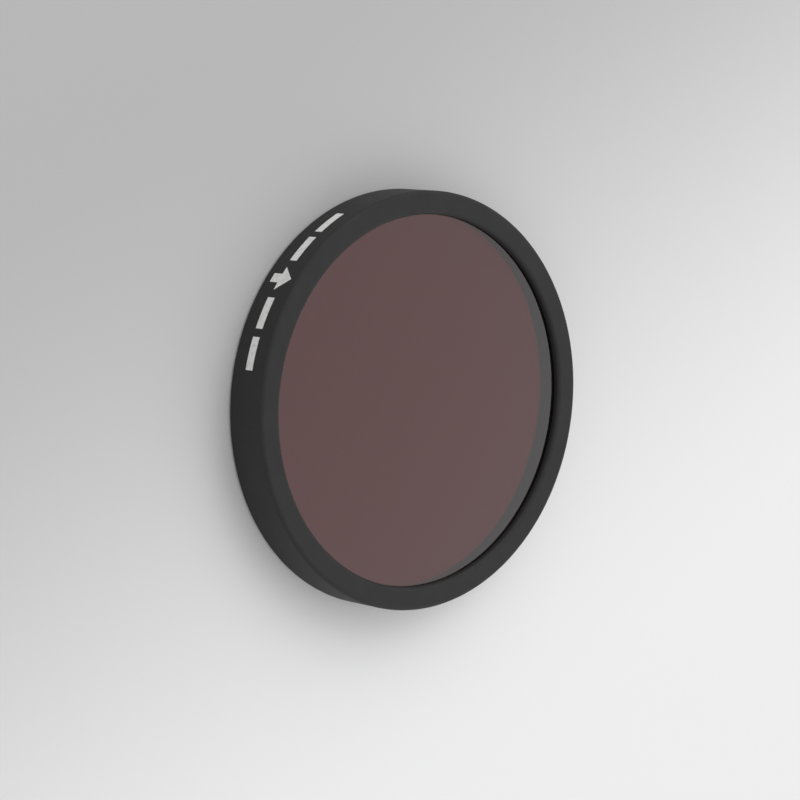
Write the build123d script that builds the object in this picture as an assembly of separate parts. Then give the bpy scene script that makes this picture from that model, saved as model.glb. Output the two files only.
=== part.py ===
from build123d import *
import os

# Optical bandpass filter: one coated glass disc held in a turned cell ring by a slotted,
# threaded ring behind it. It is the round kind that drops into a filter wheel or drawer.
# Millimetres. The optical axis is Z. The filter lies on its rear face at Z = 0, front face up.

# Cell ring, outside
cell_diameter = 50.0
cell_thickness = 5.9
front_edge_radius = 0.5
rear_edge_chamfer = 0.3

# Steps inside the cell ring. The thread bore goes to the thread's full depth.
thread_wall = 1.2
pocket_step = 0.3
lip_overlap = 1.225
lip_thickness = 0.8
lip_edge_radius = 0.5
thread_lead = 0.2
thread_overrun = 0.25
relief_depth = 0.1
relief_width = 0.35

# Glass disc
glass_thickness = 2.0
glass_bevel = 0.15
glass_side_clearance = 0.1

# Retaining ring, with a slot each side for a pin spanner
retainer_overlap = 0.6
retainer_thickness = 2.0
retainer_edge = 0.1
retainer_side_clearance = 0.05
slot_count = 2
slot_width = 1.2
slot_depth = 0.8
slot_angle = 90.0

# Radii, from the rim inwards
cell_radius = cell_diameter / 2
thread_radius = cell_radius - thread_wall
relief_radius = thread_radius + relief_depth
pocket_radius = thread_radius - pocket_step
glass_radius = pocket_radius - glass_side_clearance
lip_radius = glass_radius - lip_overlap
retainer_radius = thread_radius - retainer_side_clearance
retainer_inner_radius = glass_radius - retainer_overlap

# Heights of the faces that meet, from the front face down
glass_front = cell_thickness - lip_thickness
glass_rear = glass_front - glass_thickness
thread_end = glass_rear + thread_overrun
relief_start = thread_end - relief_width
retainer_rear = glass_rear - retainer_thickness


def corners(section, *places):
    """Corners of a flat section that lie at the given radius and height."""
    return [section.vertices().sort_by_distance((x, y))[0] for x, y in places]


def turned(section):
    """Solid made by turning a section, drawn as radius and height, about the optical axis."""
    return revolve(Plane.XZ * section, Axis.Z)


def make_cell_ring():
    """Ring with a front lip, a pocket for the glass, and a relieved thread bore open to the rear."""
    section = make_face(
        Polyline(
            (thread_radius, 0),
            (cell_radius, 0),
            (cell_radius, cell_thickness),
            (lip_radius, cell_thickness),
            (lip_radius, glass_front),
            (pocket_radius, glass_front),
            (pocket_radius, thread_end),
            (relief_radius, thread_end),
            (relief_radius, relief_start),
            (thread_radius, relief_start),
            close=True,
        )
    )
    section = fillet(corners(section, (cell_radius, cell_thickness)), front_edge_radius)
    section = fillet(corners(section, (lip_radius, cell_thickness)), lip_edge_radius)
    section = chamfer(corners(section, (cell_radius, 0)), rear_edge_chamfer)
    section = chamfer(corners(section, (thread_radius, 0)), thread_lead)
    return turned(section)


def make_filter_glass():
    """Flat disc with a small safety bevel round both faces."""
    section = make_face(
        Polyline(
            (0, glass_rear),
            (glass_radius, glass_rear),
            (glass_radius, glass_front),
            (0, glass_front),
            close=True,
        )
    )
    rim_corners = corners(section, (glass_radius, glass_rear), (glass_radius, glass_front))
    return turned(chamfer(rim_corners, glass_bevel))


def make_retaining_ring():
    """Thin ring that screws up against the glass, slotted across its rear face."""
    section = make_face(
        Polyline(
            (retainer_inner_radius, retainer_rear),
            (retainer_radius, retainer_rear),
            (retainer_radius, glass_rear),
            (retainer_inner_radius, glass_rear),
            close=True,
        )
    )
    ring = turned(chamfer(section.vertices(), retainer_edge))
    slot_reach = retainer_radius - retainer_inner_radius + 2 * slot_width
    slot = Pos(0, 0, retainer_rear) * Box(slot_reach, slot_width, 2 * slot_depth)
    middle = (retainer_radius + retainer_inner_radius) / 2
    for place in PolarLocations(middle, slot_count, start_angle=slot_angle):
        ring -= place * slot
    return ring


pieces = {
    "cell_ring": make_cell_ring(),
    "filter_glass": make_filter_glass(),
    "retaining_ring": make_retaining_ring(),
}
os.makedirs("parts", exist_ok=True)
for name, solid in pieces.items():
    export_step(solid, f"parts/{name}.step")
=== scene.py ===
"""Dressed model of an optical bandpass filter that lies on its rear face, front face up.

The cell ring and the retaining ring are turned from their sections by a Geometry Nodes lathe,
the rear thread is a Geometry Nodes helix, and the glass keeps its solid under a coated glass
finish. Lengths are in metres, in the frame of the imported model, where Z is the optical axis.
"""

import logging
import math
from dataclasses import dataclass
from enum import Enum

import bmesh
import bpy
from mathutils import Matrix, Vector


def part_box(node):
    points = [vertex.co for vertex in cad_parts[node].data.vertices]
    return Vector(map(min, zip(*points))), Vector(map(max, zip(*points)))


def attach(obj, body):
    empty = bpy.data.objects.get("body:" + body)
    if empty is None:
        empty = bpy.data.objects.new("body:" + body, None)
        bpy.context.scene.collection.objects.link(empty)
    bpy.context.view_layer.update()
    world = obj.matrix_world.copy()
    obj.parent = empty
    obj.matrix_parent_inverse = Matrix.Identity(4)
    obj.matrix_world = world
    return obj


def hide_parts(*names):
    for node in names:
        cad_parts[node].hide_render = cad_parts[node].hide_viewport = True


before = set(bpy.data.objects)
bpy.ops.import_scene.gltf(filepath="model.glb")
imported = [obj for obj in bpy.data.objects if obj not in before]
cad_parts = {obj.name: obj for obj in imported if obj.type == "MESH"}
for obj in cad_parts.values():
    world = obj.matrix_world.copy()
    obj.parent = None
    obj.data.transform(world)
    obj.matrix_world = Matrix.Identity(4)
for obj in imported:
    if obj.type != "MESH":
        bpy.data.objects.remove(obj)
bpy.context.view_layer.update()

log = logging.getLogger("bandpass_filter")

MM = 0.001
MICRON = 1e-6
TURN = 2 * math.pi
WELD_DISTANCE = 0.1 * MICRON
SHARP_ANGLE = math.radians(40.0)
FINE_EDGE = 0.02 * MM
BODY = "root"

Colour = tuple[float, float, float]
Place = tuple[float, float, float]


class Slot(Enum):
    """Names of material slots of the record."""

    CELL = "cell_anodised"
    RETAINER = "retainer_anodised"


class Skin(Enum):
    """How the metal was worked before it was anodised."""

    BLASTED = "blasted"
    TURNED = "turned"


class Nodes:
    """Node tree that is written as calls, for finishes and for shapes alike."""

    def __init__(self, tree: bpy.types.NodeTree) -> None:
        """Keeps the tree, which may already have nodes."""
        self.tree = tree

    def add(self, kind: str, settings: dict | None = None, inputs: dict | None = None) -> bpy.types.Node:
        """Adds a node.

        Args:
            kind: The node's type.
            settings: Its own settings, such as a Math node's operation, set first.
            inputs: A value or a link for each socket, by the socket's name or place.

        Returns:
            The node.
        """
        node = self.tree.nodes.new(kind)
        for name, setting in (settings or {}).items():
            setattr(node, name, setting)
        for key, source in (inputs or {}).items():
            self.join(source, node.inputs[key])
        return node

    def join(self, source: "Value | bpy.types.NodeSocket | float | tuple",
             socket: bpy.types.NodeSocket) -> None:
        """Feeds a socket.

        Args:
            source: A wrapped value, an output socket, or a constant.
            socket: The input socket.
        """
        if isinstance(source, Value):
            source = source.socket
        if isinstance(source, bpy.types.NodeSocket):
            self.tree.links.new(source, socket)
        else:
            socket.default_value = source

    def value(self, kind: str, settings: dict | None = None, inputs: dict | None = None,
              output: str | int = 0) -> "Value":
        """Adds a node and wraps one of its outputs.

        Args:
            kind: The node's type.
            settings: Its own settings.
            inputs: A value or a link for each socket.
            output: The name or place of the output.

        Returns:
            The output, ready for arithmetic.
        """
        return Value(self, self.add(kind, settings, inputs).outputs[output])


class Value:
    """A number that varies over a surface or along a shape, with Math nodes behind its operators."""

    def __init__(self, nodes: Nodes, socket: bpy.types.NodeSocket) -> None:
        """Wraps an output socket of the given tree."""
        self.nodes = nodes
        self.socket = socket

    def math(self, operation: str, *others: "Value | float") -> "Value":
        """Adds a Math node with this value first.

        Args:
            operation: The Math node's operation.
            others: Its further operands.

        Returns:
            The result.
        """
        operands = dict(enumerate((self, *others)))
        return self.nodes.value("ShaderNodeMath", {"operation": operation}, operands)

    def __add__(self, other: "Value | float") -> "Value":
        """Sum of the two."""
        return self.math("ADD", other)

    def __radd__(self, other: float) -> "Value":
        """Sum of the two."""
        return self.math("ADD", other)

    def __sub__(self, other: "Value | float") -> "Value":
        """This value less the other."""
        return self.math("SUBTRACT", other)

    def __rsub__(self, other: float) -> "Value":
        """The other less this value."""
        return self.nodes.value("ShaderNodeMath", {"operation": "SUBTRACT"}, {0: other, 1: self})

    def __mul__(self, other: "Value | float") -> "Value":
        """Product of the two."""
        return self.math("MULTIPLY", other)

    def __rmul__(self, other: float) -> "Value":
        """Product of the two."""
        return self.math("MULTIPLY", other)

    def __truediv__(self, other: "Value | float") -> "Value":
        """This value over the other."""
        return self.math("DIVIDE", other)

    def spread(self, low: float, high: float, start: float = 0.0, end: float = 1.0) -> "Value":
        """Maps a range of this value to another, and holds it at both ends.

        Args:
            low: This value where the result is start.
            high: This value where the result is end.
            start: The result at low.
            end: The result at high.

        Returns:
            The mapped value, which eases in and out.
        """
        return self.nodes.value(
            "ShaderNodeMapRange",
            {"interpolation_type": "SMOOTHSTEP"},
            {"Value": self, "From Min": low, "From Max": high, "To Min": start, "To Max": end},
        )


class Shader(Nodes):
    """Node tree of one material, with the patterns that the finishes share."""

    def __init__(self, name: str) -> None:
        """Makes a new material with an empty tree."""
        self.material = bpy.data.materials.new(name)
        self.material.use_nodes = True
        super().__init__(self.material.node_tree)
        self.tree.nodes.clear()
        self.place = self.add("ShaderNodeTexCoord").outputs["Object"]

    def flat_place(self) -> tuple[Value, Value]:
        """The object's own X and Y at each point of the surface."""
        x, y, _ = self.add("ShaderNodeSeparateXYZ", inputs={0: self.place}).outputs
        return Value(self, x), Value(self, y)

    def radius(self) -> Value:
        """Distance of each point of the surface from the optical axis."""
        x, y = self.flat_place()
        return (x * x + y * y).math("SQRT")

    def noise(self, size: float, detail: float = 2.0) -> Value:
        """Cloudy pattern in the object's own coordinates.

        Args:
            size: Length of one cloud, in metres.
            detail: Finer octaves on top.

        Returns:
            The pattern, about 0 to 1 with its middle at 0.5.
        """
        inputs = {"Vector": self.place, "Scale": 1 / size, "Detail": detail}
        return self.value("ShaderNodeTexNoise", inputs=inputs)

    def blend(self, share: Value, first: Colour, second: Colour) -> bpy.types.NodeSocket:
        """Mixes two colours.

        Args:
            share: How much of the second colour there is.
            first: A colour.
            second: The other colour.

        Returns:
            The mixed colour's socket.
        """
        inputs = {0: share, 6: (*first, 1.0), 7: (*second, 1.0)}
        return self.add("ShaderNodeMix", {"data_type": "RGBA"}, inputs).outputs[2]

    def bump(self, relief: Value, depth: float) -> bpy.types.NodeSocket:
        """Turns a relief into a normal.

        Args:
            relief: The relief, from 0 to 1.
            depth: What 1 stands for, in metres.

        Returns:
            The normal's socket.
        """
        inputs = {"Strength": 1.0, "Distance": depth, "Height": relief}
        return self.add("ShaderNodeBump", inputs=inputs).outputs[0]

    def surface(self, **inputs: object) -> bpy.types.Material:
        """Ends the tree in one Principled shader.

        Args:
            inputs: Its sockets, with an underscore for each space in a name.

        Returns:
            The finished material.
        """
        named = {key.replace("_", " "): source for key, source in inputs.items()}
        principled = self.add("ShaderNodeBsdfPrincipled", inputs=named)
        self.add("ShaderNodeOutputMaterial", inputs={"Surface": principled.outputs[0]})
        return self.material


@dataclass(frozen=True)
class BlackAnodising:
    """Dyed black oxide on aluminium.

    A blasted skin is even and satin. A turned skin has fine rings round the optical axis.
    """

    name: str
    skin: Skin
    black: Colour = (0.0052, 0.0052, 0.0054)
    faded: Colour = (0.0080, 0.0079, 0.0079)
    gloss: float = 0.64
    roughness: float = 0.72
    patch_size: float = 3.2 * MM
    patch_share: float = 0.7
    patch_dulling: float = 0.03
    speck_size: float = 0.44 * MM
    speck_dulling: float = 0.015
    grain_size: float = 0.11 * MM
    grain_depth: float = 1.3 * MICRON
    ring_pitch: float = 0.09 * MM
    ring_depth: float = 1.6 * MICRON
    ring_share: float = 0.8

    def build(self) -> bpy.types.Material:
        """Makes the material."""
        shader = Shader(self.name)
        patches = shader.noise(self.patch_size, detail=3.0)
        specks = shader.noise(self.speck_size, detail=1.0)
        share = self.patch_share
        fading = patches.spread(0.35, 0.75) * share + specks.spread(0.4, 0.8) * (1 - share)
        dulled = self.roughness + patches.spread(0.3, 0.7, -self.patch_dulling, self.patch_dulling)
        dulled = dulled + specks.spread(0.3, 0.7, -self.speck_dulling, self.speck_dulling)
        relief = shader.noise(self.grain_size, detail=2.0)
        depth = self.grain_depth
        if self.skin is Skin.TURNED:
            rings = (shader.radius() * (TURN / self.ring_pitch)).math("SINE") * 0.5 + 0.5
            relief = rings * self.ring_share + relief * (1 - self.ring_share)
            depth = self.ring_depth
        return shader.surface(
            Base_Color=shader.blend(fading, self.black, self.faded),
            Roughness=dulled,
            Specular_IOR_Level=self.gloss,
            Normal=shader.bump(relief, depth),
        )


@dataclass(frozen=True)
class CoatedGlass:
    """Deep red glass under a hard coating that mirrors a little of every colour."""

    name: str
    deep_red: Colour = (0.118, 0.002, 0.003)
    index: float = 1.5
    coat_index: float = 1.56
    coat_roughness: float = 0.01
    haze_size: float = 9 * MM
    haze_roughness: float = 0.03
    wave_size: float = 16 * MM
    wave_depth: float = 0.5 * MICRON

    def build(self) -> bpy.types.Material:
        """Makes the material."""
        shader = Shader(self.name)
        haze = shader.noise(self.haze_size, detail=4.0)
        waves = shader.noise(self.wave_size, detail=0.0)
        return shader.surface(
            Base_Color=(*self.deep_red, 1.0),
            Roughness=haze.spread(0.45, 0.8, 0.0, self.haze_roughness),
            IOR=self.index,
            Transmission_Weight=1.0,
            Coat_Weight=1.0,
            Coat_Roughness=self.coat_roughness,
            Coat_IOR=self.coat_index,
            Normal=shader.bump(waves, self.wave_depth),
        )


@dataclass(frozen=True)
class PrintedWhite:
    """Thin white ink, printed on the anodised rim."""

    name: str
    white: Colour = (0.78, 0.78, 0.77)
    worn: Colour = (0.58, 0.58, 0.57)
    fresh_roughness: float = 0.42
    worn_roughness: float = 0.56
    wear_size: float = 0.5 * MM
    grain_size: float = 0.08 * MM
    grain_depth: float = 1.0 * MICRON

    def build(self) -> bpy.types.Material:
        """Makes the material."""
        shader = Shader(self.name)
        wear = shader.noise(self.wear_size, detail=4.0)
        grain = shader.noise(self.grain_size)
        return shader.surface(
            Base_Color=shader.blend(wear.spread(0.45, 0.8), self.white, self.worn),
            Roughness=wear.spread(0.3, 0.7, self.fresh_roughness, self.worn_roughness),
            Normal=shader.bump(grain, self.grain_depth),
        )


@dataclass(frozen=True)
class PaleFloor:
    """Smooth pale board, graded from a darker tone to white: painted shade and light that stand in for
    light falling off across the ground.

    The grade is at middle on the optical axis, and it gains slope_x and slope_y in a metre along X
    and Y. Under the filter the board glows with painted light, as no lamp lights it from below, so
    that the glass stands against an evenly pale ground.
    """

    name: str
    painted_glow_radius: float
    # Painted shade: the darker end of the floor's grade, where the light is made to look weaker.
    painted_shade_grey: Colour = (0.50, 0.50, 0.50)
    white: Colour = (0.93, 0.93, 0.93)
    middle: float = 0.50
    slope_x: float = 4.2
    slope_y: float = -9.0
    # Painted light: the glow of the floor under the glass, which is no lamp.
    painted_glow: Colour = (0.38, 0.38, 0.38)
    dark: Colour = (0.0, 0.0, 0.0)
    cloud_size: float = 60 * MM
    least_roughness: float = 0.62
    most_roughness: float = 0.70

    def build(self) -> bpy.types.Material:
        """Makes the material."""
        shader = Shader(self.name)
        clouds = shader.noise(self.cloud_size)
        x, y = shader.flat_place()
        # Painted light and shade: the floor's colour grades across X and Y in place of light falling
        # off.
        painted_shade_grade = x * self.slope_x + y * self.slope_y + self.middle
        # Painted light: inside this radius, under the glass, the floor glows.
        painted_glow_area = shader.radius().math("LESS_THAN", self.painted_glow_radius)
        return shader.surface(
            Base_Color=shader.blend(painted_shade_grade.spread(0.0, 1.0), self.painted_shade_grey, self.white),
            Roughness=clouds.spread(0.3, 0.7, self.least_roughness, self.most_roughness),
            Emission_Color=shader.blend(painted_glow_area, self.dark, self.painted_glow),
            Emission_Strength=1.0,
        )


@dataclass(frozen=True)
class Corner:
    """Corner of a section: its radius and height, and how far it is rounded."""

    radius: float
    height: float
    rounding: float = 0.04 * MM

    def spot(self) -> Vector:
        """Its place in the section's plane."""
        return Vector((self.radius, self.height))


@dataclass(frozen=True)
class Section:
    """Closed outline of a turned piece, counterclockwise with the radius to the right and Z up."""

    corners: tuple[Corner, ...]
    arc_step: float = math.radians(9.0)
    least_steps: int = 3
    guard: float = 0.05 * MM
    guard_share: float = 0.25

    def points(self) -> list[Vector]:
        """Points round the outline, each corner rounded, with a guard point at both ends of its arc."""
        count = len(self.corners)
        found = []
        for i, corner in enumerate(self.corners):
            before = self.corners[i - 1].spot()
            after = self.corners[(i + 1) % count].spot()
            found += self._rounded(corner, before, after)
        return found

    def _rounded(self, corner: Corner, before: Vector, after: Vector) -> list[Vector]:
        """Rounds one corner.

        Args:
            corner: The corner.
            before: The place of the corner before it.
            after: The place of the corner after it.

        Returns:
            The points of its arc and its two guard points.
        """
        spot = corner.spot()
        back = (before - spot).normalized()
        ahead = (after - spot).normalized()
        half = back.angle(ahead) / 2
        reach = corner.rounding / math.tan(half)
        centre = spot + (back + ahead).normalized() * (corner.rounding / math.sin(half))
        first = spot + back * reach - centre
        last = spot + ahead * reach - centre
        turned = first.angle(last)
        steps = max(self.least_steps, round(turned / self.arc_step))
        whole = math.sin(turned)
        arc = [
            centre + (first * math.sin(turned * (1 - s)) + last * math.sin(turned * s)) / whole
            for s in (k / steps for k in range(steps + 1))
        ]
        guard_back = min(self.guard, ((before - spot).length - reach) * self.guard_share)
        guard_ahead = min(self.guard, ((after - spot).length - reach) * self.guard_share)
        return [arc[0] + back * guard_back, *arc, arc[-1] + ahead * guard_ahead]

    def wire(self, name: str) -> bpy.types.Object:
        """Object that holds the outline as bare points, for a lathe to turn.

        Args:
            name: The object's name.

        Returns:
            The object, linked to the scene.
        """
        mesh = bpy.data.meshes.new(name)
        mesh.from_pydata([(p.x, 0.0, p.y) for p in self.points()], [], [])
        wire = bpy.data.objects.new(name, mesh)
        bpy.context.scene.collection.objects.link(wire)
        return wire


class ShapeTree(Nodes):
    """Geometry Nodes tree with named inputs, whose result becomes a plain mesh."""

    def __init__(self, name: str, sizes: dict[str, float | int]) -> None:
        """Makes the tree and its sockets.

        Args:
            name: The tree's name.
            sizes: The tree's named inputs: whole numbers are counts, and others are lengths or angles.
        """
        super().__init__(bpy.data.node_groups.new(name, "GeometryNodeTree"))
        self.sizes = sizes
        interface = self.tree.interface
        interface.new_socket("Geometry", in_out="INPUT", socket_type="NodeSocketGeometry")
        for label, size in sizes.items():
            kind = "NodeSocketInt" if isinstance(size, int) else "NodeSocketFloat"
            interface.new_socket(label, in_out="INPUT", socket_type=kind)
        interface.new_socket("Material", in_out="INPUT", socket_type="NodeSocketMaterial")
        interface.new_socket("Geometry", in_out="OUTPUT", socket_type="NodeSocketGeometry")
        self.inputs = self.add("NodeGroupInput").outputs

    def size(self, label: str) -> Value:
        """One of the tree's named inputs."""
        return Value(self, self.inputs[label])

    def grid(self, columns: Value | int,
             rows: Value | int) -> tuple[bpy.types.NodeSocket, Value, Value]:
        """Sheet of cells to be bent into a shape.

        Args:
            columns: How many cells it has along its length.
            rows: How many cells it has across.

        Returns:
            Its mesh, and how far along and how far across a point lies, each from 0 to 1.
        """
        counts = {"Size X": 1.0, "Size Y": 1.0, "Vertices X": columns + 1, "Vertices Y": rows + 1}
        sheet = self.add("GeometryNodeMeshGrid", inputs=counts).outputs["Mesh"]
        position = self.add("GeometryNodeInputPosition").outputs[0]
        x, y, _ = self.add("ShaderNodeSeparateXYZ", inputs={0: position}).outputs
        return sheet, Value(self, x) + 0.5, Value(self, y) + 0.5

    def bend(self, sheet: bpy.types.NodeSocket, radius: Value, turn: Value,
             height: Value) -> bpy.types.NodeSocket:
        """Moves each point of a sheet to its place round the optical axis and closes the seams.

        Args:
            sheet: The sheet's mesh.
            radius: Distance from the axis.
            turn: Angle round the axis, in radians.
            height: Height along the axis.

        Returns:
            The bent mesh.
        """
        spot = {0: radius * turn.math("COSINE"), 1: radius * turn.math("SINE"), 2: height}
        place = self.add("ShaderNodeCombineXYZ", inputs=spot).outputs[0]
        bent = self.add("GeometryNodeSetPosition", inputs={"Geometry": sheet, "Position": place})
        merge = {"Geometry": bent.outputs[0], "Distance": WELD_DISTANCE}
        return self.add("GeometryNodeMergeByDistance", inputs=merge).outputs[0]

    def finish(self, shape: bpy.types.NodeSocket) -> None:
        """Ends the tree: faces smooth, sharp edges kept, instances real, material set.

        Args:
            shape: The geometry to hand out.
        """
        smooth = self.add("GeometryNodeSetShadeSmooth", {"domain": "FACE"}, {"Geometry": shape})
        angle = self.value("GeometryNodeInputMeshEdgeAngle")
        sharp = angle.math("GREATER_THAN", SHARP_ANGLE)
        creases = {"Geometry": smooth.outputs[0], "Selection": sharp, "Shade Smooth": False}
        creased = self.add("GeometryNodeSetShadeSmooth", {"domain": "EDGE"}, creases).outputs[0]
        real = self.add("GeometryNodeRealizeInstances", inputs={"Geometry": creased}).outputs[0]
        dressed = {"Geometry": real, "Material": self.inputs["Material"]}
        last = self.add("GeometryNodeSetMaterial", inputs=dressed).outputs[0]
        self.add("NodeGroupOutput", inputs={"Geometry": last})

    def run(self, name: str, source: bpy.types.Object, material: bpy.types.Material) -> bpy.types.Object:
        """Runs the tree on an object and keeps the result as a plain mesh.

        Args:
            name: Name of the new piece.
            source: The object whose mesh goes in. It is deleted.
            material: The piece's material.

        Returns:
            The new piece, at the origin, with no modifier.
        """
        modifier = source.modifiers.new(self.tree.name, "NODES")
        modifier.node_group = self.tree
        given = {**self.sizes, "Material": material}
        for item in self.tree.interface.items_tree:
            if item.in_out == "INPUT" and item.name in given:
                modifier[item.identifier] = given[item.name]
        bpy.context.view_layer.update()
        evaluated = source.evaluated_get(bpy.context.evaluated_depsgraph_get())
        mesh = bpy.data.meshes.new_from_object(evaluated)
        mesh.name = name
        source.modifiers.remove(modifier)
        bpy.data.objects.remove(source)
        piece = bpy.data.objects.new(name, mesh)
        bpy.context.scene.collection.objects.link(piece)
        face_outwards(mesh)
        return piece


def face_outwards(mesh: bpy.types.Mesh) -> None:
    """Merges doubled points and turns every face of a closed mesh outwards.

    Args:
        mesh: The mesh, which is changed.
    """
    shape = bmesh.new()
    shape.from_mesh(mesh)
    bmesh.ops.remove_doubles(shape, verts=shape.verts, dist=WELD_DISTANCE)
    bmesh.ops.recalc_face_normals(shape, faces=shape.faces)
    shape.to_mesh(mesh)
    shape.free()


def empty_object(name: str) -> bpy.types.Object:
    """Object with an empty mesh, for a tree that makes everything itself.

    Args:
        name: The object's name.

    Returns:
        The object, linked to the scene.
    """
    empty = bpy.data.objects.new(name, bpy.data.meshes.new(name))
    bpy.context.scene.collection.objects.link(empty)
    return empty


def lathe() -> ShapeTree:
    """Tree that turns a section's points into a closed ring about the optical axis."""
    tree = ShapeTree("lathe", {"Segments": 360})
    outline = tree.inputs["Geometry"]
    points = {"component": "MESH"}
    count = tree.value("GeometryNodeAttributeDomainSize", points, {0: outline}, "Point Count")
    sheet, along, across = tree.grid(tree.size("Segments"), count)
    index = (across * count).math("ROUND").math("MODULO", count)
    position = tree.add("GeometryNodeInputPosition").outputs[0]
    pick = {"Geometry": outline, "Value": position, "Index": index}
    kind = {"data_type": "FLOAT_VECTOR", "domain": "POINT"}
    spot = tree.add("GeometryNodeSampleIndex", kind, pick).outputs[0]
    radius, _, height = tree.add("ShaderNodeSeparateXYZ", inputs={0: spot}).outputs
    tree.finish(tree.bend(sheet, Value(tree, radius), along * TURN, Value(tree, height)))
    return tree


def ride(piece: bpy.types.Object, slot: Slot, *nodes: str) -> bpy.types.Object:
    """Ties a piece to the one body and hides the solids that it stands for.

    Args:
        piece: The piece.
        slot: The record's slot that it takes its finish from; not used.
        nodes: Names of the solids that it replaces.

    Returns:
        The piece.
    """
    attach(piece, BODY)
    if nodes:
        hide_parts(*nodes)
    log.info("%s: %d faces", piece.name, len(piece.data.polygons))
    return piece


@dataclass
class CellRing:
    """Turned ring that holds the glass behind its front lip, with a thread bore at the rear."""

    radius: float
    thickness: float
    glass_top: float
    glass_bottom: float
    front_edge: float = 0.5 * MM
    lip_edge: float = 0.5 * MM
    rear_edge: float = 0.3 * MM
    thread_wall: float = 1.2 * MM
    pocket_step: float = 0.3 * MM
    lip_overhang: float = 1.325 * MM
    thread_lead: float = 0.2 * MM
    thread_overrun: float = 0.25 * MM
    relief_depth: float = 0.1 * MM
    relief_width: float = 0.35 * MM
    seat_gap: float = 5 * MICRON

    @property
    def thread_radius(self) -> float:
        """Radius of the thread bore."""
        return self.radius - self.thread_wall

    def section(self) -> Section:
        """The ring's section."""
        pocket = self.thread_radius - self.pocket_step
        lip = pocket - self.lip_overhang
        seat = self.glass_top + self.seat_gap
        thread_end = self.glass_bottom + self.thread_overrun
        relief = self.thread_radius + self.relief_depth
        return Section((
            Corner(self.thread_radius + self.thread_lead, 0.0, FINE_EDGE),
            Corner(self.radius - self.rear_edge, 0.0),
            Corner(self.radius, self.rear_edge),
            Corner(self.radius, self.thickness, self.front_edge),
            Corner(lip, self.thickness, self.lip_edge),
            Corner(lip, seat, FINE_EDGE),
            Corner(pocket, seat, FINE_EDGE),
            Corner(pocket, thread_end, FINE_EDGE),
            Corner(relief, thread_end, FINE_EDGE),
            Corner(relief, thread_end - self.relief_width, FINE_EDGE),
            Corner(self.thread_radius, thread_end - self.relief_width, FINE_EDGE),
            Corner(self.thread_radius, self.thread_lead, FINE_EDGE),
        ))

    def build(self, finish: bpy.types.Material) -> bpy.types.Object:
        """Turns the ring and dresses it.

        Args:
            finish: The blasted and anodised finish.

        Returns:
            The ring, which stands for its solid.
        """
        ring = lathe().run("cell_ring_turned", self.section().wire("cell_ring_section"), finish)
        return ride(ring, Slot.CELL, "cell_ring")


@dataclass
class RearThread:
    """Ridge of the inner thread, where the retaining ring leaves it in sight."""

    bore: float
    pitch: float = 0.5 * MM
    first_height: float = 0.30 * MM
    turns: float = 1.12
    root_flat: float = 0.125
    crest_flat: float = 0.25
    flank: float = math.radians(30.0)
    run_out: float = 0.06
    sunk: float = 0.01 * MM
    steps: int = 400

    def build(self, finish: bpy.types.Material) -> bpy.types.Object:
        """Winds the ridge and dresses it.

        Args:
            finish: The cell ring's finish.

        Returns:
            The ridge, which tapers to a point at both ends.
        """
        half_root = self.pitch * (1 - self.root_flat) / 2
        half_crest = self.pitch * self.crest_flat / 2
        depth = (half_root - half_crest) / math.tan(self.flank)
        tree = ShapeTree("thread", {
            "Steps": self.steps,
            "Bore": self.bore + self.sunk,
            "Depth": depth + self.sunk,
            "Pitch": self.pitch,
            "Turns": self.turns,
            "First Height": self.first_height,
            "Half Root": half_root,
            "Half Crest": half_crest,
            "Run Out": self.run_out,
        })
        corners = 4
        middle = (corners - 1) / 2
        sheet, along, across = tree.grid(tree.size("Steps"), corners)
        corner = (across * corners).math("ROUND").math("MODULO", corners)
        inner = (corner - middle).math("ABSOLUTE").math("LESS_THAN", 1.0)
        upper = corner.math("GREATER_THAN", middle)
        grown = (along.math("MINIMUM", 1 - along) / tree.size("Run Out")).math("MINIMUM", 1.0)
        half = tree.size("Half Root") * (1 - inner) + tree.size("Half Crest") * inner
        climb = tree.size("First Height") + along * tree.size("Turns") * tree.size("Pitch")
        height = climb + (upper * 2.0 - 1.0) * half * grown
        radius = tree.size("Bore") - tree.size("Depth") * inner * grown
        tree.finish(tree.bend(sheet, radius, along * tree.size("Turns") * TURN, height))
        ridge = tree.run("thread_ridge", empty_object("thread_start"), finish)
        return ride(ridge, Slot.CELL)


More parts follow.
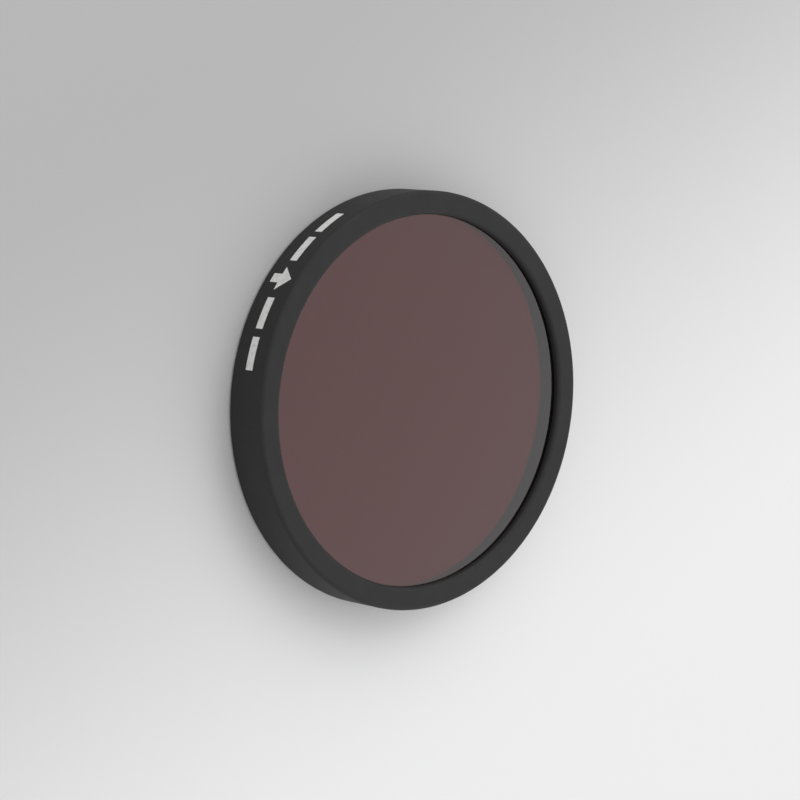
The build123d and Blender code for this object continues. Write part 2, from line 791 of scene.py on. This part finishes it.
@dataclass
class IndexMark:
    """Plain printed mark on the rim: an arrow towards the front face, with bars on both sides."""

    radius: float
    middle_height: float = 3.05 * MM
    middle_angle: float = math.radians(141.5)
    bar_length: float = 3.9 * MM
    bar_gap: float = 1.0 * MM
    bar_width: float = 1.2 * MM
    bar_count: int = 2
    head_width: float = 3.2 * MM
    head_length: float = 2.0 * MM
    shaft_width: float = 1.2 * MM
    shaft_length: float = 1.4 * MM
    ink: float = 0.012 * MM
    sunk: float = 0.01 * MM
    cell: float = 0.2 * MM

    def build(self, finish: bpy.types.Material) -> bpy.types.Object:
        """Prints the mark.

        Args:
            finish: The white ink.

        Returns:
            The mark, a closed film that follows the rim.
        """
        shape = bmesh.new()
        tip = self.middle_height + (self.head_length + self.shaft_length) / 2
        neck = tip - self.head_length
        slope = self.head_length / (self.head_width / 2)
        half_head = self.head_width / 2
        half_shaft = self.shaft_width / 2
        self._strip(shape, -half_head, half_head, neck, tip, slope)
        self._strip(shape, -half_shaft, half_shaft, neck - self.shaft_length, neck)
        low = self.middle_height - self.bar_width / 2
        high = self.middle_height + self.bar_width / 2
        for side in (-1, 1):
            for number in range(self.bar_count):
                inner = half_head + self.bar_gap + number * (self.bar_length + self.bar_gap)
                ends = sorted((side * inner, side * (inner + self.bar_length)))
                self._strip(shape, *ends, low, high)
        mesh = bpy.data.meshes.new("index_mark")
        shape.to_mesh(mesh)
        shape.free()
        face_outwards(mesh)
        mesh.materials.append(finish)
        mark = bpy.data.objects.new("index_mark", mesh)
        bpy.context.scene.collection.objects.link(mark)
        return ride(mark, Slot.CELL)

    def _strip(self, shape: bmesh.types.BMesh, start: float, end: float, low: float, high: float,
               slope: float = 0.0) -> None:
        """Adds one closed patch of ink.

        Args:
            shape: The mesh to add to.
            start: Where the patch starts along the rim, from the mark's middle.
            end: Where it ends.
            low: Height of its lower edge.
            high: Height of its upper edge at the mark's middle.
            slope: How steeply the upper edge falls to both sides.
        """
        columns = max(2, 2 * round((end - start) / self.cell / 2))
        rows = []
        for k in range(columns + 1):
            x = start + (end - start) * k / columns
            angle = self.middle_angle - x / self.radius
            top = high - abs(x) * slope
            corners = (
                (self.radius - self.sunk, low),
                (self.radius + self.ink, low),
                (self.radius + self.ink, top),
                (self.radius - self.sunk, top),
            )
            rows.append([
                shape.verts.new((radius * math.cos(angle), radius * math.sin(angle), height))
                for radius, height in corners
            ])
        for row, following in zip(rows, rows[1:]):
            for i in range(len(row)):
                j = (i + 1) % len(row)
                shape.faces.new((row[i], row[j], following[j], following[i]))
        shape.faces.new(rows[0])
        shape.faces.new(rows[-1][::-1])


@dataclass
class FilterGlass:
    """Coated disc that keeps its solid."""

    node: str = "filter_glass"

    def dress(self, finish: bpy.types.Material) -> None:
        """Gives the disc its finish.

        Args:
            finish: The coated glass.
        """
        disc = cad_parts[self.node]
        disc.data.materials.clear()
        disc.data.materials.append(finish)
        log.info("%s: dressed", self.node)


@dataclass
class RetainingRing:
    """Ring that is screwed up behind the glass, with two slots for a pin spanner."""

    outer: float
    bottom: float
    top: float
    inner: float = 22.8 * MM
    edge: float = 0.1 * MM
    slot_count: int = 2
    slot_width: float = 1.2 * MM
    slot_depth: float = 0.8 * MM
    slot_angle: float = math.radians(90.0)
    seat_gap: float = 5 * MICRON

    def section(self) -> Section:
        """The ring's section, without its slots."""
        top = self.top - self.seat_gap
        edge = self.edge
        return Section((
            Corner(self.inner + edge, self.bottom, FINE_EDGE),
            Corner(self.outer - edge, self.bottom, FINE_EDGE),
            Corner(self.outer, self.bottom + edge, FINE_EDGE),
            Corner(self.outer, top - edge, FINE_EDGE),
            Corner(self.outer - edge, top, FINE_EDGE),
            Corner(self.inner + edge, top, FINE_EDGE),
            Corner(self.inner, top - edge, FINE_EDGE),
            Corner(self.inner, self.bottom + edge, FINE_EDGE),
        ))

    def slots(self) -> ShapeTree:
        """Tree that cuts the slots across the rear face."""
        reach = self.outer - self.inner
        tree = ShapeTree("spanner_slots", {
            "Slots": self.slot_count,
            "Middle Radius": (self.outer + self.inner) / 2,
            "First Angle": self.slot_angle,
            "Floor": self.bottom,
            "Reach": reach + 2 * self.slot_width,
            "Width": self.slot_width,
            "Depth": self.slot_depth,
        })
        size = {0: tree.size("Reach"), 1: tree.size("Width"), 2: tree.size("Depth") * 2.0}
        cutter = tree.add("GeometryNodeMeshCube", inputs={
            "Size": tree.add("ShaderNodeCombineXYZ", inputs=size).outputs[0],
        }).outputs["Mesh"]
        spots = tree.add("GeometryNodePoints", inputs={"Count": tree.size("Slots")}).outputs[0]
        number = tree.value("GeometryNodeInputIndex")
        turn = number * TURN / tree.size("Slots") + tree.size("First Angle")
        radius = tree.size("Middle Radius")
        spot = {0: radius * turn.math("COSINE"), 1: radius * turn.math("SINE"), 2: tree.size("Floor")}
        place = tree.add("ShaderNodeCombineXYZ", inputs=spot).outputs[0]
        placed = tree.add("GeometryNodeSetPosition", inputs={"Geometry": spots, "Position": place})
        lean = tree.add("ShaderNodeCombineXYZ", inputs={2: turn}).outputs[0]
        cutters = tree.add("GeometryNodeInstanceOnPoints", inputs={
            "Points": placed.outputs[0], "Instance": cutter, "Rotation": lean,
        }).outputs[0]
        real = tree.add("GeometryNodeRealizeInstances", inputs={"Geometry": cutters}).outputs[0]
        cut = tree.add("GeometryNodeMeshBoolean", {"operation": "DIFFERENCE", "solver": "EXACT"}, {
            "Mesh 1": tree.inputs["Geometry"], "Mesh 2": real,
        }).outputs["Mesh"]
        tree.finish(cut)
        return tree

    def build(self, finish: bpy.types.Material) -> bpy.types.Object:
        """Turns the ring, cuts its slots and dresses it.

        Args:
            finish: The turned and anodised finish.

        Returns:
            The ring, which stands for its solid.
        """
        blank = lathe().run("retaining_blank", self.section().wire("retaining_section"), finish)
        ring = self.slots().run("retaining_ring_turned", blank, finish)
        return ride(ring, Slot.RETAINER, "retaining_ring")


@dataclass(frozen=True)
class PhotoCamera:
    """Camera that looks down on the front face from the photograph's angle.

    In the photograph the filter stands on its rim, so the picture's up is the filter's own Y.
    """

    turn: float = math.radians(41.5274)
    pitch: float = math.radians(7.0802)
    distance: float = 342.19 * MM
    aside: float = 3.03 * MM
    drop: float = 0.21 * MM
    focal_mm: float = 129.903
    sensor_mm: float = 36.0
    nearest: float = 10 * MM

    def build(self, target: Vector) -> None:
        """Makes the camera.

        Args:
            target: Centre of the front face.
        """
        data = bpy.data.cameras.new("photo_camera")
        data.sensor_width = self.sensor_mm
        data.lens = self.focal_mm
        data.clip_start = self.nearest
        camera = bpy.data.objects.new("photo_camera", data)
        camera.rotation_euler = (-self.pitch, -self.turn, 0.0)
        axes = camera.rotation_euler.to_matrix()
        camera.location = target + axes @ Vector((-self.aside, self.drop, self.distance))
        bpy.context.scene.collection.objects.link(camera)
        bpy.context.scene.camera = camera
        log.info("photo_camera: %.1f mm lens", self.focal_mm)


@dataclass(frozen=True)
class SoftLight:
    """Square soft light that points at the filter."""

    name: str
    place: Place
    width: float
    power: float

    def build(self) -> None:
        """Makes the light."""
        data = bpy.data.lights.new(self.name, "AREA")
        data.shape = "SQUARE"
        data.size = self.width
        data.energy = self.power
        light = bpy.data.objects.new(self.name, data)
        light.location = self.place
        light.rotation_euler = (-Vector(self.place)).to_track_quat("-Z", "Y").to_euler()
        bpy.context.scene.collection.objects.link(light)
        log.info("%s: %.1f W", self.name, self.power)


@dataclass(frozen=True)
class SoftPatch:
    """Broad pale patch of the surroundings, which fades out evenly round its middle."""

    towards: Place
    strength: float
    fading: float = 4.0

    def light(self, nodes: Nodes, direction: bpy.types.NodeSocket) -> Value:
        """How much light comes from a direction.

        Args:
            nodes: The surroundings' tree.
            direction: The direction, as a unit vector.

        Returns:
            The patch's share of the light.
        """
        terms = {0: direction, 1: Vector(self.towards).normalized()}
        nearness = nodes.value("ShaderNodeVectorMath", {"operation": "DOT_PRODUCT"}, terms, "Value")
        return nearness.math("MAXIMUM", 0.0).math("POWER", self.fading) * self.strength


@dataclass(frozen=True)
class Studio:
    """Pale floor, even pale surroundings with some brighter patches, and one soft light."""
    # Radius of the floor's painted glow under the glass.

    painted_glow_radius: float
    floor_half: float = 3.0
    floor_drop: float = 0.02 * MM
    even: float = 0.42
    patches: tuple[SoftPatch, ...] = (
        SoftPatch((0.0, 0.77, 0.64), 1.10),
        SoftPatch((0.82, -0.53, 0.22), 1.08),
        SoftPatch((-0.55, -0.60, 0.58), 0.40),
    )
    key_light: SoftLight = SoftLight("key_light", (0.35, 0.75, 0.80), 0.7, 1.5)

    def build(self) -> None:
        """Makes the floor, the surroundings and the light, and shows colours as they are."""
        self._floor()
        self._surroundings()
        self.key_light.build()
        bpy.context.scene.view_settings.view_transform = "Standard"

    def _floor(self) -> None:
        """Makes the floor and its finish."""
        half = self.floor_half
        mesh = bpy.data.meshes.new("studio_floor")
        level = -self.floor_drop
        places = [(-half, -half, level), (half, -half, level), (half, half, level), (-half, half, level)]
        mesh.from_pydata(places, [], [(0, 1, 2, 3)])
        mesh.materials.append(PaleFloor("pale_floor", self.painted_glow_radius).build())
        floor = bpy.data.objects.new("studio_floor", mesh)
        bpy.context.scene.collection.objects.link(floor)

    def _surroundings(self) -> None:
        """Makes the light of the room: the same from everywhere, and more from the soft patches."""
        world = bpy.data.worlds.new("studio")
        world.use_nodes = True
        bpy.context.scene.world = world
        nodes = Nodes(world.node_tree)
        world.node_tree.nodes.clear()
        towards = nodes.add("ShaderNodeTexCoord").outputs["Generated"]
        strength = sum((patch.light(nodes, towards) for patch in self.patches), self.even)
        inputs = {"Color": (1.0, 1.0, 1.0, 1.0), "Strength": strength}
        light = nodes.add("ShaderNodeBackground", inputs=inputs)
        nodes.add("ShaderNodeOutputWorld", inputs={"Surface": light.outputs[0]})


def main() -> None:
    """Builds the filter and its stage, in order."""
    logging.basicConfig(level=logging.INFO, format="%(message)s")
    _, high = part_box("cell_ring")
    glass_low, glass_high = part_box("filter_glass")
    ring = CellRing(radius=high.x, thickness=high.z, glass_top=glass_high.z, glass_bottom=glass_low.z)
    PhotoCamera().build(Vector((0.0, 0.0, high.z)))
    blasted = BlackAnodising("cell_anodised_finish", Skin.BLASTED).build()
    ring.build(blasted)
    RearThread(bore=ring.thread_radius).build(blasted)
    FilterGlass().dress(CoatedGlass("coated_glass_finish").build())
    low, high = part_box("retaining_ring")
    turned = BlackAnodising("retainer_anodised_finish", Skin.TURNED, roughness=0.38).build()
    RetainingRing(outer=high.x, bottom=low.z, top=high.z).build(turned)
    IndexMark(radius=ring.radius).build(PrintedWhite("printed_white").build())
    Studio(painted_glow_radius=ring.thread_radius).build()


if __name__ == "__main__":
    main()
